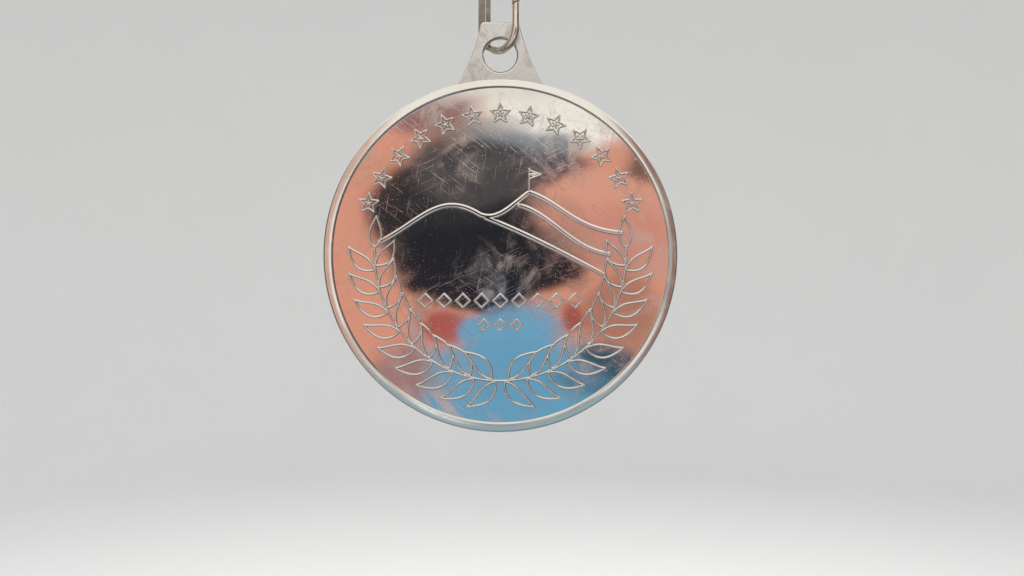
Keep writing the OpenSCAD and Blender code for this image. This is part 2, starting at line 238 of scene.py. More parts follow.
rivetSteel = nickelFinish("rivetSteel", nickel | {
    "base": (0.62, 0.60, 0.57, 1), "rough": 0.28, "smudge": 0.15, "smudgeScale": 900.0,
    "scratches": [(20, 0.62), (-60, 0.64)], "across": 4200.0, "along": 900.0, "grain": 0.8, "bump": 0.6})
springSteel = nickelFinish("springSteel", nickel | {
    "base": (0.45, 0.44, 0.43, 1), "tint": (0.33, 0.30, 0.26, 1), "rough": 0.24, "smudge": 0.15,
    "smudgeScale": 1500.0, "scratches": [(0, 0.64), (90, 0.64)], "across": 5200.0, "along": 1500.0,
    "grain": 0.6, "bump": 0.5})
print("finishes made")


def addPiece(name, points, faces, materials, slots=None, sharp=None):
    mesh = bpy.data.meshes.new(name)
    mesh.from_pydata([tuple(p) for p in points], [], faces)
    for material in materials:
        mesh.materials.append(material)
    if slots is not None:
        mesh.polygons.foreach_set("material_index", np.asarray(slots, np.int32))
    mesh.polygons.foreach_set("use_smooth", np.full(len(mesh.polygons), True))
    mesh.validate()
    if sharp is not None:
        mesh.set_sharp_from_angle(angle=math.radians(sharp))
    mesh.update()
    piece = bpy.data.objects.new(name, mesh)
    scene.collection.objects.link(piece)
    return piece


def seat(piece, body, slot, *nodes):
    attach(piece, body)
    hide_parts(*nodes)


def rounded(corners, steps=5):
    # open line of (x, y, radius) corners with each corner rounded off
    line = []
    for i, (x, y, radius) in enumerate(corners):
        here = np.array([x, y], float)
        if radius == 0 or i in (0, len(corners) - 1):
            line.append(here)
            continue
        back = np.array(corners[i - 1][:2], float) - here
        ahead = np.array(corners[i + 1][:2], float) - here
        back = back / np.linalg.norm(back)
        ahead = ahead / np.linalg.norm(ahead)
        half = math.acos(np.clip(back @ ahead, -1, 1)) / 2
        reach = radius / math.tan(half)
        middle = here + (back + ahead) / np.linalg.norm(back + ahead) * radius / math.sin(half)
        start = here + back * reach - middle
        end = here + ahead * reach - middle
        turn = math.acos(np.clip(start @ end / radius ** 2, -1, 1))
        for k in range(steps + 1):
            share = k / steps
            weight = math.sin((1 - share) * turn) * start + math.sin(share * turn) * end
            line.append(middle + weight / math.sin(turn))
    return np.array(line)


def lathe(profile, count, start=0):
    # a profile of (radius, height) turned round the Z axis, closed with one point where the radius is 0
    points = []
    rings = []
    for radius, height in profile:
        if radius < 1e-9:
            rings.append([len(points) + start])
            points.append((0.0, 0.0, height))
            continue
        rings.append([len(points) + start + k for k in range(count)])
        for k in range(count):
            a = 2 * math.pi * k / count
            points.append((radius * math.cos(a), radius * math.sin(a), height))
    faces = []
    for low, high in zip(rings, rings[1:]):
        for k in range(count):
            m = (k + 1) % count
            face = [low[k % len(low)], low[m % len(low)], high[m % len(high)], high[k % len(high)]]
            face = list(dict.fromkeys(face))
            if len(face) > 2:
                faces.append(face)
    return points, faces


def sweep(path, radius, sides, closed=False):
    # round tube along a path, turned with one steady frame
    path = np.asarray(path, float)
    count = len(path)
    if closed:
        along = np.roll(path, -1, 0) - np.roll(path, 1, 0)
    else:
        along = np.gradient(path, axis=0)
    along = along / np.linalg.norm(along, axis=1)[:, None]
    side = np.cross(along[0], [0.31, 0.87, 0.38])  # any direction that no path here starts in
    points = []
    for i in range(count):
        side = side - (side @ along[i]) * along[i]
        side = side / np.linalg.norm(side)
        other = np.cross(along[i], side)
        for k in range(sides):
            a = 2 * math.pi * k / sides
            points.append(path[i] + radius * (math.cos(a) * side + math.sin(a) * other))
    faces = []
    for i in range(count if closed else count - 1):
        n = (i + 1) % count
        twist = 0
        if closed and n == 0:
            gaps = [np.linalg.norm(points[i * sides] - points[k]) for k in range(sides)]
            twist = int(np.argmin(gaps))
        for k in range(sides):
            m = (k + 1) % sides
            faces.append([i * sides + k, i * sides + m,
                          n * sides + (m + twist) % sides, n * sides + (k + twist) % sides])
    if not closed:
        faces.append(list(range(sides))[::-1])
        faces.append([(count - 1) * sides + k for k in range(sides)])
    return points, faces


def bezier(a, b, c, d, count):
    t = np.linspace(0, 1, count + 1)[:, None]
    a, b, c, d = (np.array(p, float) for p in (a, b, c, d))
    return (1 - t) ** 3 * a + 3 * t * (1 - t) ** 2 * b + 3 * t * t * (1 - t) * c + t ** 3 * d


def turned(points, degrees, shift=(0, 0)):
    a = math.radians(degrees)
    spin = np.array([[math.cos(a), math.sin(a)], [-math.sin(a), math.cos(a)]])
    return points @ spin + np.array(shift, float)


# the medal is drawn in millimetres, face on with Y up, and toRow turns it to the frame
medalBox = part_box("medal")
medal = {"radius": medalBox[1].x / mm, "thick": -medalBox[0].y / mm, "lugTop": medalBox[1].z / mm,
         "rimWidth": 1.7, "rimFall": 0.4, "fieldDepth": 0.6, "step": 0.25, "edgeRound": 0.3,
         "backRound": 0.5, "turns": 360}
relief = {"leafLength": 8.2, "leafWidth": 3.1, "leafCount": 9, "leafTurn": 48, "leafCurl": 0.12,
          "stemFrom": 1.5, "stemTo": 93, "stemInset": 8.2, "pairStep": 0.2, "starRadius": 2.5,
          "starCount": 13, "starInset": 2.6, "lineHalf": 0.25, "lineTall": 0.32, "ridgeHalf": 0.52,
          "ridgeTall": 0.45, "starHalf": 0.21, "starTall": 0.36, "pitch": 0.075,
          "levels": [0.0, 0.14, 0.38, 0.62, 0.8], "ridgeTop": 0.62, "flatten": 0.004, "fieldGrid": 2.4,
          "leafShrink": (0.1, 0.2), "endLength": 0.8, "endWidth": 0.9, "starNotch": 0.45, "starGap": 0.15,
          "starSpread": 1.05, "armReach": 0.62, "armHalf": 0.2, "armTall": 0.8, "pennantHalf": 0.4,
          "leafInset": 1.2, "tipInset": 2.3, "sceneInset": 1, "lozengeInset": 0.6, "lozengeExtra": 0.02,
          "crown": 0.7, "clear": 1.4}
# hill lines as four curve points each: share of the scene's half width, height
ridges = [[(-1, 2.6), (-0.66, 6.6), (-0.5, 13), (-0.17, 8)],
          [(-0.17, 8), (-0.02, 6.6), (0.08, 9.6), (0.24, 12.4)],
          [(0.24, 12.4), (0.5, 10.4), (0.62, 5), (1, 4.4)],
          [(0.16, 9.8), (0.42, 8.2), (0.6, 1), (0.9, 0.2)],
          [(-0.12, 7.4), (0.14, 5), (0.4, 2), (0.86, -3.9)]]
pole = {"share": 0.24, "foot": 12, "top": 17, "flagTop": 16.75, "flagMiddle": 15.9, "flagFoot": 15.05,
        "flagLength": 2.3, "flagFill": 1.6}
# rows of lozenges as count, spacing, height of the row, width and height of each
lozenges = [(9, 3.7, -9, 3.4, 3.3), (3, 3.2, -13.8, 2.9, 2.8)]
fieldRadius = medal["radius"] - medal["rimWidth"] - medal["step"]
fieldTop = medal["thick"] - medal["fieldDepth"]
stemRadius = fieldRadius - relief["stemInset"]


def leafLine(length, width, curl, count=22):
    t = np.linspace(0, 1, count + 1)
    half = width / 2 * np.sin(np.pi * t ** 0.8)  # widest just before the middle
    middle = curl * length * (2 * t ** 3 - t)  # bends one way, then back at the tip
    upper = np.stack([length * t, middle + half], 1)
    lower = np.stack([length * t, middle - half], 1)[-2:0:-1]
    return np.concatenate([upper, lower])


def onStem(degrees):
    a = math.radians(degrees)
    return (stemRadius * math.sin(a), -stemRadius * math.cos(a))


def reliefStrokes():
    # every raised line as (points, closed, half width, height)
    strokes = []
    line = (relief["lineHalf"], relief["lineTall"])
    inset = relief["lineHalf"]
    step = (relief["stemTo"] - relief["stemFrom"]) / relief["leafCount"]
    pair = relief["pairStep"] * step
    stem = np.array([onStem(a) for a in np.linspace(0, relief["stemTo"], 60)])
    branch = [(stem, False)]
    width = relief["leafWidth"] - 2 * inset
    outerShrink, innerShrink = relief["leafShrink"]
    for i in range(relief["leafCount"]):
        a = relief["stemFrom"] + i * step
        for at, turn, length, curl in (
                (a, a - relief["leafTurn"], relief["leafLength"] - outerShrink * i, relief["leafCurl"]),
                (a + pair, a + pair + relief["leafTurn"], relief["leafLength"] - innerShrink * i,
                 -relief["leafCurl"])):
            foot = relief["leafInset"] * inset
            leaf = leafLine(length - 2 * foot, width, curl) + (foot, 0)
            branch.append((turned(leaf, turn, onStem(at)), True))
    end = leafLine(relief["endLength"] * relief["leafLength"] - 2 * inset, relief["endWidth"] * width, 0)
    end = end + (inset, 0)
    branch.append((turned(end, relief["stemTo"], onStem(relief["stemTo"])), True))
    for points, closed in branch:
        strokes.append((points, closed, *line))
        strokes.append((points * (-1, 1), closed, *line))

    arc = fieldRadius - relief["starRadius"] - relief["starInset"]
    pitch = 2 * math.degrees(math.asin((relief["starRadius"] + relief["starGap"]) / arc))
    pitch = pitch * relief["starSpread"]
    tips = relief["starRadius"] - relief["tipInset"] * relief["starHalf"]
    reach = [1 if k % 2 == 0 else relief["starNotch"] for k in range(10)]
    star = np.array([[reach[k] * f(math.radians(36 * k)) for f in (math.sin, math.cos)] for k in range(10)])
    for i in range(relief["starCount"]):
        turn = (i - (relief["starCount"] - 1) / 2) * pitch
        strokes.append((turned(star * tips + (0, arc), turn), True, relief["starHalf"], relief["starTall"]))
        for k in range(0, 10, 2):
            arm = np.array([(0, 0), star[k] * relief["armReach"]]) + (0, arc)
            tall = relief["starTall"] * relief["armTall"]
            strokes.append((turned(arm, turn), False, relief["armHalf"], tall))

    w = stemRadius - relief["sceneInset"]
    for ridge in ridges:
        curve = bezier(*[(share * w, height) for share, height in ridge], 40)
        strokes.append((curve, False, relief["ridgeHalf"], relief["ridgeTall"]))
    x = pole["share"] * w
    middle = pole["flagMiddle"]
    strokes.append((np.array([(x, pole["foot"]), (x, pole["top"])]), False, *line))
    pennant = np.array([(x, pole["flagTop"]), (x + pole["flagLength"], middle), (x, pole["flagFoot"])])
    strokes.append((pennant, True, *line))
    fill = np.array([(x, middle), (x + pole["flagFill"], middle)])
    strokes.append((fill, False, relief["pennantHalf"], relief["lineTall"]))

    for count, spacing, height, wide, tall in lozenges:
        inner = 1 - relief["lozengeInset"] / tall
        half = relief["starHalf"] + relief["lozengeExtra"]
        for i in range(count):
            x = (i - (count - 1) / 2) * spacing
            shape = np.array([(-wide, 0), (0, tall), (wide, 0), (0, -tall)]) / 2 * inner
            strokes.append((shape + (x, height), True, half, relief["starTall"]))
    return strokes


def toLine(x, y, points, closed):
    # distance from each place to a line of points
    ends = np.roll(points, -1, 0) if closed else points[1:]
    starts = points if closed else points[:-1]
    best = np.full(x.shape, 1e9)
    for (ax, ay), (bx, by) in zip(starts, ends):
        dx = bx - ax
        dy = by - ay
        t = np.clip(((x - ax) * dx + (y - ay) * dy) / max(dx * dx + dy * dy, 1e-12), 0, 1)
        best = np.minimum(best, (x - ax - t * dx) ** 2 + (y - ay - t * dy) ** 2)
    return np.sqrt(best)


def reliefLevels(strokes, axis):
    # how deep each grid place lies in a line (1 on its middle, 0 at its foot), and that line's height
    level = np.full((len(axis), len(axis)), -4.0)
    height = np.full(level.shape, relief["lineTall"])
    for points, closed, half, tall in strokes:
        low = points.min(0) - half * 3
        high = points.max(0) + half * 3
        i0, j0 = np.searchsorted(axis, low)
        i1, j1 = np.searchsorted(axis, high)
        x, y = np.meshgrid(axis[i0:i1], axis[j0:j1], indexing="ij")
        depth = 1 - toLine(x, y, points, closed) / half
        part = level[i0:i1, j0:j1]
        height[i0:i1, j0:j1] = np.where(depth > part, tall, height[i0:i1, j0:j1])
        level[i0:i1, j0:j1] = np.maximum(part, depth)
    return level, height


def contours(level, value, axis):
    # closed lines where the level crosses a value
    count = len(axis)
    inside = level > value
    mixed = inside[:-1, :-1].astype(int) + inside[1:, :-1] + inside[1:, 1:] + inside[:-1, 1:]
    cells = np.argwhere((mixed > 0) & (mixed < 4))
    links = {}
    for i, j in cells.tolist():
        a, b, c, d = inside[i, j], inside[i + 1, j], inside[i + 1, j + 1], inside[i, j + 1]
        crossed = []
        if a != b:
            crossed.append((i * count + j) * 2)
        if b != c:
            crossed.append(((i + 1) * count + j) * 2 + 1)
        if c != d:
            crossed.append((i * count + j + 1) * 2)
        if d != a:
            crossed.append((i * count + j) * 2 + 1)
        if len(crossed) == 4:
            middle = level[i:i + 2, j:j + 2].mean() > value
            order = (0, 1, 2, 3) if a == middle else (3, 0, 1, 2)
            crossed = [crossed[k] for k in order]
        for first, second in zip(crossed[::2], crossed[1::2]):
            links.setdefault(first, []).append(second)
            links.setdefault(second, []).append(first)

    def place(edge):
        i, j = divmod(edge // 2, count)
        m, n = (i, j + 1) if edge % 2 else (i + 1, j)
        share = (value - level[i, j]) / (level[m, n] - level[i, j])
        return (axis[i] + share * (axis[m] - axis[i]), axis[j] + share * (axis[n] - axis[j]))

    loops = []
    unused = set(links)
    while unused:
        first = unused.pop()
        loop = [first]
        here = first
        while True:
            ahead = [edge for edge in links[here] if edge in unused]
            if not ahead:
                break
            here = ahead[0]
            unused.discard(here)
            loop.append(here)
        if len(loop) > 5:
            loops.append(np.array([place(edge) for edge in loop]))
    return loops


def simplified(line, most):
    # drops points that lie within a small distance of the line without them
    keep = np.zeros(len(line), bool)
    keep[[0, -1]] = True
    stack = [(0, len(line) - 1)]
    while stack:
        first, last = stack.pop()
        if last - first < 2:
            continue
        a = line[first]
        d = line[last] - a
        rest = line[first + 1:last] - a
        size = math.hypot(*d)
        away = np.abs(rest[:, 0] * d[1] - rest[:, 1] * d[0]) / size if size > 1e-9 else np.hypot(*rest.T)
        worst = int(np.argmax(away))
        if away[worst] > most:
            keep[first + 1 + worst] = True
            stack.append((first, first + 1 + worst))
            stack.append((first + 1 + worst, last))
    return line[keep]


def raised(level, tall):
    # cross-section of a raised line, from 0 at its foot to 1 on its crest; a ridge has a flat top
    reach = np.where(tall == relief["ridgeTall"], relief["ridgeTop"], 1.0)
    return (1 - (1 - np.clip(level / reach, 0, 1)) ** 2) ** relief["crown"]


def faceMesh(rimCount):
    # flat field with the raised lines standing out of it, as points, faces and which faces are raised
    strokes = reliefStrokes()
    size = int(2 * fieldRadius / relief["pitch"]) + 3
    axis = (np.arange(size) - (size - 1) / 2) * relief["pitch"]
    level, height = reliefLevels(strokes, axis)
    points = []
    depth = []
    edges = []

    def addLine(line, closed, value):
        base = len(points)
        points.extend(line.tolist())
        depth.extend([value] * len(line))
        last = len(line) if closed else len(line) - 1
        edges.extend((base + k, base + (k + 1) % len(line)) for k in range(last))

    angles = 2 * math.pi * np.arange(rimCount) / rimCount
    addLine(fieldRadius * np.stack([np.cos(angles), np.sin(angles)], 1), True, 0.0)
    for value in relief["levels"]:
        for loop in contours(level, value, axis):
            loop = simplified(np.concatenate([loop, loop[:1]]), relief["flatten"])[:-1]
            if len(loop) > 2:
                addLine(loop, True, value)
    for stroke in strokes:
        addLine(stroke[0], stroke[1], 1.0)
    grid = np.arange(-fieldRadius, fieldRadius, relief["fieldGrid"])
    for x in grid:
        for y in grid:  # a few points on the flat field, clear of every line
            i = int(round((x - axis[0]) / relief["pitch"]))
            j = int(round((y - axis[0]) / relief["pitch"]))
            if math.hypot(x, y) < fieldRadius - 1 and level[i, j] < -relief["clear"]:
                points.append([x, y])
                depth.append(0.0)
    found = delaunay_2d_cdt([Vector(p) for p in points], edges, [], 0, 1e-5, True)
    flat = np.array([tuple(p) for p in found[0]])
    at = np.clip(np.round((flat - axis[0]) / relief["pitch"]).astype(int), 0, size - 1)
    tall = height[at[:, 0], at[:, 1]]
    value = np.array([max((depth[k] for k in source), default=-1.0) for source in found[3]])
    loose = value < 0
    value[loose] = np.clip(level[at[loose, 0], at[loose, 1]], 0, 1)
    z = fieldTop + tall * raised(value, tall)
    faces = [list(face) for face in found[2]]
    corners = np.array(faces)
    middle = flat[corners].mean(1)
    at = np.clip(np.round((middle - axis[0]) / relief["pitch"]).astype(int), 0, size - 1)
    isRaised = (value[corners].max(1) > 0) | (level[at[:, 0], at[:, 1]] > 0)
    print("relief:", len(strokes), "lines,", len(flat), "points,", len(faces), "faces")
    return flat, z, faces, isRaised


def toRow(x, y, z):
    # from the face-on drawing, in millimetres, to the frame: Y up becomes Z, height becomes -Y
    return (x * mm, -z * mm, y * mm)


def makeDisc():
    r = medal["radius"]
    t = medal["thick"]
    crest = r - medal["rimWidth"]
    edge = t - medal["rimFall"]
    # radius, height and rounding of each corner, from the field over the rim to the middle of the back
    corners = [(fieldRadius, fieldTop, 0), (crest, t, 0.13), (r - medal["edgeRound"], edge, 0.12),
               (r, edge - medal["edgeRound"], 0.12), (r, medal["backRound"], 0.2),
               (r - medal["backRound"] * 0.7, 0.1, 0.3), (r - medal["backRound"] - 0.6, 0, 0.3),
               (r * 0.66, 0, 0), (r * 0.33, 0, 0), (0, 0, 0)]
    profile = rounded(corners, 4)
    count = medal["turns"]
    flat, z, faces, isRaised = faceMesh(count)
    points = [toRow(x, y, h) for (x, y), h in zip(flat, z)]
    ringOf = {}
    for i, (x, y) in enumerate(flat):
        if abs(math.hypot(x, y) - fieldRadius) < 1e-3:
            ringOf[round(math.atan2(y, x) / (2 * math.pi) * count) % count] = i
    slots = [1 if up else 0 for up in isRaised]  # places in the list of finishes below
    faces = [face[::-1] for face in faces]
    lower = [ringOf[k] for k in range(count)]
    for radius, height in profile[1:]:
        if radius < 1e-9:
            upper = [len(points)] * count
            points.append(toRow(0, 0, height))
        else:
            upper = [len(points) + k for k in range(count)]
            for k in range(count):
                a = 2 * math.pi * k / count
                points.append(toRow(radius * math.cos(a), radius * math.sin(a), height))
        for k in range(count):
            m = (k + 1) % count
            face = list(dict.fromkeys([lower[m], lower[k], upper[k], upper[m]]))
            faces.append(face)
            slots.append(3 if height < 0.02 and radius < r - 0.8 else 2)  # back or rim
        lower = upper
    finishes = [fieldMirror, reliefMetal, rimMetal, backSatin]
    disc = addPiece("medalDisc", points, faces, finishes, slots, sharp=28)
    seat(disc, "medal", "medal_plate", "medal")


makeDisc()
print("disc made")

lug = {"middle": medal["thick"] / 2, "thick": 2.2, "topWidth": 7.7, "footWidth": 16.4, "corner": 0.5,
       "holeRadius": 3.2, "chamfer": 0.4, "soft": 0.32, "steps": 4, "sink": 0.4, "flareTop": (1.2, 5),
       "flareFoot": (1.8, 5.4), "spread": 0.4, "tuck": 0.25, "tuckAngle": 14.5,
       "turns": 96, "lip": 0.3, "lipRound": 0.25}


def lugOutline():
    # closed outline, from the top's right corner down, across inside the disc and up again
    r = medal["radius"]
    foot = math.sqrt(r * r - lug["footWidth"] ** 2 / 4) - lug["sink"]
    top = medal["lugTop"]
    half = lug["topWidth"] / 2
    topOut, topDown = lug["flareTop"]
    footOut, footUp = lug["flareFoot"]
    flare = bezier((half, top - lug["corner"]), (half + topOut, top - topDown),
                   (half + footOut, foot + footUp), (lug["footWidth"] / 2 + lug["spread"], foot), 36)
    corner = rounded([(0, top, 0), (half - lug["corner"], top, 0.3), (half, top - lug["corner"], 0.3),
                      tuple(flare[2]) + (0,)], 4)[:-1]
    inner = r - medal["rimWidth"] + lug["tuck"]
    ends = np.radians(np.linspace(lug["tuckAngle"], 0, 9))
    arc = inner * np.stack([np.sin(ends), np.cos(ends)], 1)
    line = np.concatenate([corner, flare[2:], arc])
    return np.concatenate([line, (line * (-1, 1))[-2:0:-1]])


def inset(outline, amount):
    before = outline - np.roll(outline, 1, 0)
    after = np.roll(outline, -1, 0) - outline
    before = before / np.linalg.norm(before, axis=1)[:, None]
    after = after / np.linalg.norm(after, axis=1)[:, None]
    along = before + after
    along = along / np.linalg.norm(along, axis=1)[:, None]
    stretch = 1 / np.clip((along * after).sum(1), 0.5, 1)
    return outline + np.stack([along[:, 1], -along[:, 0]], 1) * (amount * stretch)[:, None]


def makeLug():
    outline = lugOutline()
    centre = np.array([0, joints["medal_swing"]["pos_m"][2] / mm])
    half = lug["thick"] / 2
    soft = lug["soft"]
    rings = []
    for k in range(lug["steps"] + 1):
        a = math.pi / 2 * k / lug["steps"]
        rings.append((soft * (1 - math.sin(a)), half - soft * (1 - math.cos(a))))
    outer = [(inset(outline, amount), height) for amount, height in rings]
    outer += [(ring, -height) for ring, height in outer[::-1]]
    angles = 2 * math.pi * np.arange(lug["turns"]) / lug["turns"]
    circle = np.stack([np.cos(angles), -np.sin(angles)], 1)
    bore = lug["holeRadius"]
    wide = bore + lug["chamfer"]
    throat = rounded([(wide + lug["lip"], half, 0), (wide, half, lug["lipRound"]),
                      (bore, half - lug["chamfer"], lug["lipRound"]), (bore, 0, 0)], 4)[1:]
    inner = [(centre + circle * radius, height) for radius, height in throat]
    inner += [(ring, -height) for ring, height in inner[::-1][1:]]
    points = []
    faces = []
    slots = []

    def addRings(rings, flip, slot):
        first = None
        lower = None
        for ring, height in rings:
            upper = [len(points) + k for k in range(len(ring))]
            points.extend(toRow(x, y, lug["middle"] + height) for x, y in ring)
            first = first or upper
            if lower:
                for k in range(len(ring)):
                    m = (k + 1) % len(ring)
                    face = [lower[k], lower[m], upper[m], upper[k]]
                    faces.append(face[::-1] if flip else face)
                    slots.append(slot)
            lower = upper
        return first, lower

    frontOuter, backOuter = addRings(outer, True, 1)
    frontInner, backInner = addRings(inner, False, 1)
    for ringOut, ringIn, flip in ((frontOuter, frontInner, False), (backOuter, backInner, True)):
        index = ringOut + ringIn
        loops = [[Vector((points[k][0] / mm, points[k][2] / mm, 0)) for k in ring]
                 for ring in (ringOut, ringIn)]
        flat = loops[0] + loops[1]
        for face in tessellate_polygon(loops):
            a, b, c = (flat[k] for k in face)
            clockwise = (b - a).cross(c - a).z < 0
            ids = [index[k] for k in face]
            faces.append(ids if clockwise == flip else ids[::-1])
            slots.append(0)
    piece = addPiece("medalLug", points, faces, [lugSatin, rimMetal], slots, sharp=40)
    seat(piece, "medal", "medal_plate", "medal")


makeLug()
print("lug made")

casting = {"hookBody": {"node": "hook_body", "body": "hook", "grain": 0.1, "rounds": 5},
           "gateArm": {"node": "gate", "body": "trigger", "grain": 0.07, "rounds": 4}}


def softCopy(name, cast):
    # the CAD solid with its edges worn soft, as a cast and tumbled piece
    piece = bpy.data.objects.new(name, frame["nodes"][cast["node"]].data.copy())
    scene.collection.objects.link(piece)
    remesh = piece.modifiers.new("cast", "REMESH")
    remesh.mode = "VOXEL"
    remesh.voxel_size = cast["grain"] * mm
    soften = piece.modifiers.new("soften", "SMOOTH")
    soften.factor = 0.5
    soften.iterations = cast["rounds"]
    bpy.context.view_layer.update()
    shaped = bpy.data.meshes.new_from_object(piece.evaluated_get(bpy.context.evaluated_depsgraph_get()))
    piece.modifiers.clear()
    piece.data = shaped
    shaped.name = name
    shaped.materials.clear()
    shaped.materials.append(hookNickel)
    shaped.polygons.foreach_set("use_smooth", np.full(len(shaped.polygons), True))
    seat(piece, cast["body"], "hook_plate", cast["node"])
    print(name, len(shaped.polygons), "faces")


for name, cast in casting.items():
    softCopy(name, cast)

rivetJoint = joints["gate_hinge"]
rivetAxis = Vector(rivetJoint["axis"]).normalized()
rivetPlace = Vector(rivetJoint["pos_m"])
rivet = {"half": 2.7, "shank": 0.6, "head": 1.0, "crown": 0.72, "headThick": 0.4, "crownThick": 0.25,
         "turns": 40}


def makeRivet():
    # shank with a soft low head at each end
    half = rivet["half"]
    under = half - rivet["headThick"]
    brim = half - rivet["crownThick"]
    upper = [(rivet["shank"], under, 0.0), (rivet["head"], under, 0.04), (rivet["head"], brim, 0.12),
             (rivet["crown"], half, 0.3), (0, half, 0)]
    lower = [(radius, -height, soft) for radius, height, soft in upper[::-1]]
    points, faces = lathe(rounded(lower + upper, 4) * mm, rivet["turns"])
    turn = Vector((0, 0, 1)).rotation_difference(rivetAxis)
    points = [turn @ Vector(p) + rivetPlace for p in points]
    piece = addPiece("gateRivet", points, faces, [rivetSteel], sharp=35)
    seat(piece, "hook", "rivet_steel", "gate_pin")


makeRivet()

spring = {"wire": 0.14, "gap": 0.1, "space": 0.02, "turn": 810, "step": 11.25, "legEnd": -2.2,
          "legTop": -1.1, "root": 1.4, "clear": 0.05, "sides": 12, "thin": 0.97, "stays": 0.9}


def makeSpring():
    # the wire's middle runs round the rivet between two legs
    along = Vector((rivetAxis.y, -rivetAxis.x, 0))
    wire = spring["wire"]
    coil = rivet["shank"] + spring["gap"] + wire
    turn = spring["turn"]
    wide = (2 * wire + spring["space"]) * turn / 360
    root = spring["root"] - wire
    top = spring["root"] + spring["gap"] - wire - spring["clear"]
    path = [(coil, -wide / 2, spring["legEnd"]), (coil, -wide / 2, spring["legTop"])]
    for a in np.arange(0, turn + 1, spring["step"]):
        c = math.radians(a)
        path.append((coil * math.cos(c), wide * (a / turn - 0.5), coil * math.sin(c)))
    path.append((-root * 0.5, wide / 2, top * 0.75 + coil * 0.25))
    path.append((-root, wide / 2, top))
    row = [(along * u - rivetAxis * v + Vector((0, 0, w))) * mm + rivetPlace for u, v, w in path]
    points, faces = sweep([tuple(p) for p in row], wire * mm * spring["thin"], spring["sides"])
    piece = addPiece("gateSpring", points, faces, [springSteel], sharp=50)
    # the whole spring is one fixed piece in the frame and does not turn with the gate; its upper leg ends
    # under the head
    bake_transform(piece)
    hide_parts("gate_spring")


makeSpring()

eye = {"wire": 1.1, "corner": 2.6, "slot": 6, "stem": 1.2, "peen": 1.7, "peenThick": 0.8, "peenEnd": 1.35,
       "collar": 2.3, "collarThick": 0.8, "collarTop": 1.5, "neck": 0.9, "gap": 0.1, "reach": 0.3,
       "corners": 12, "stretch": 1.2, "sides": 28, "turns": 48, "peenRise": 0.3, "shoulder": 1.05}


def makeEye():
    # bent wire loop with the turned stem grown out of its lower bar
    low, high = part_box("swivel_eye")
    middleY = (low.y + high.y) / 2 / mm
    top = high.z / mm
    bottom = low.z / mm
    corner = eye["corner"]
    upper = top - eye["wire"]
    lower = upper - eye["slot"] - 2 * eye["wire"]
    side = high.x / mm - eye["wire"] - corner
    path = []
    for cx, cz, start in ((side, upper - corner, 0), (-side, upper - corner, 90),
                          (-side, lower + corner, 180), (side, lower + corner, 270)):
        for k in range(eye["corners"] + 1):
            a = math.radians(start + 90 * k / eye["corners"])
            path.append((cx + corner * math.cos(a), middleY, cz + corner * math.sin(a)))
    path = [tuple(v * mm for v in p) for p in path]
    dense = []
    for i, p in enumerate(path):
        dense.append(p)
        q = path[(i + 1) % len(path)]
        cuts = int(math.dist(p, q) / (eye["stretch"] * mm))
        for k in range(1, cuts):
            dense.append(tuple(a + (b - a) * k / cuts for a, b in zip(p, q)))
    points, faces = sweep(dense, eye["wire"] * mm, eye["sides"], closed=True)
    peenTop = bottom + eye["peenThick"]
    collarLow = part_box("hook_body")[1].z / mm + eye["gap"]
    collarHigh = collarLow + eye["collarThick"]
    # radius, height and rounding of each corner, from the peened end up to the neck
    profile = rounded([
        (0, bottom, 0), (eye["peenEnd"], bottom, 0.25), (eye["peen"], bottom + eye["peenRise"], 0.15),
        (eye["peen"], peenTop, 0.08), (eye["stem"], peenTop, 0), (eye["stem"], collarLow, 0),
        (eye["collar"], collarLow, 0.15), (eye["collar"], collarHigh, 0.25),
        (eye["collarTop"], collarLow + eye["shoulder"], 0.5), (eye["neck"], lower + eye["reach"], 0),
        (0, lower + eye["reach"], 0)], 4)
    morePoints, moreFaces = lathe(profile * mm, eye["turns"], len(points))
    points = list(points) + [(x, y + middleY * mm, z) for x, y, z in morePoints]
    piece = addPiece("swivelEye", points, faces + moreFaces, [hookNickel], sharp=35)
    seat(piece, "eye", "hook_plate", "swivel_eye")


makeEye()
print("hook, gate, rivet, spring and eye made")

studio = {"floor": -0.345, "radius": 2.2, "sweep": 0.7, "height": 2.0, "pale": (0.84, 0.84, 0.83, 1),
          "shade": (0.68, 0.68, 0.68, 1), "shadeShare": 0.15, "shadeScale": 4.0, "rough": 0.85,
          "gloss": 0.2, "turns": 96, "sky": (0.9, 0.92, 0.95, 1), "skyStrength": 0.74}
view = {"lens": 32, "sensor": 36, "clip": 0.005, "x": 0.0023, "y": -0.1823, "z": -0.0065}


def makeStudio():
    # floor that sweeps up into a pale wall all round
    profile = rounded([(0, studio["floor"], 0), (studio["radius"], studio["floor"], studio["sweep"]),
                       (studio["radius"], studio["height"], 0)], 24)
    points, faces = lathe(profile, studio["turns"])
    floor = addPiece("studioFloor", points, faces, [])
    finish = Finish("studioPaint")
    shade = finish.noise(studio["shadeScale"], 3.0)
    base = finish.mix(shade * studio["shadeShare"], studio["pale"], studio["shade"])
    paint = finish.surface(Base_Color=base, Roughness=studio["rough"], Specular_IOR_Level=studio["gloss"])
    floor.data.materials.append(paint)


makeStudio()

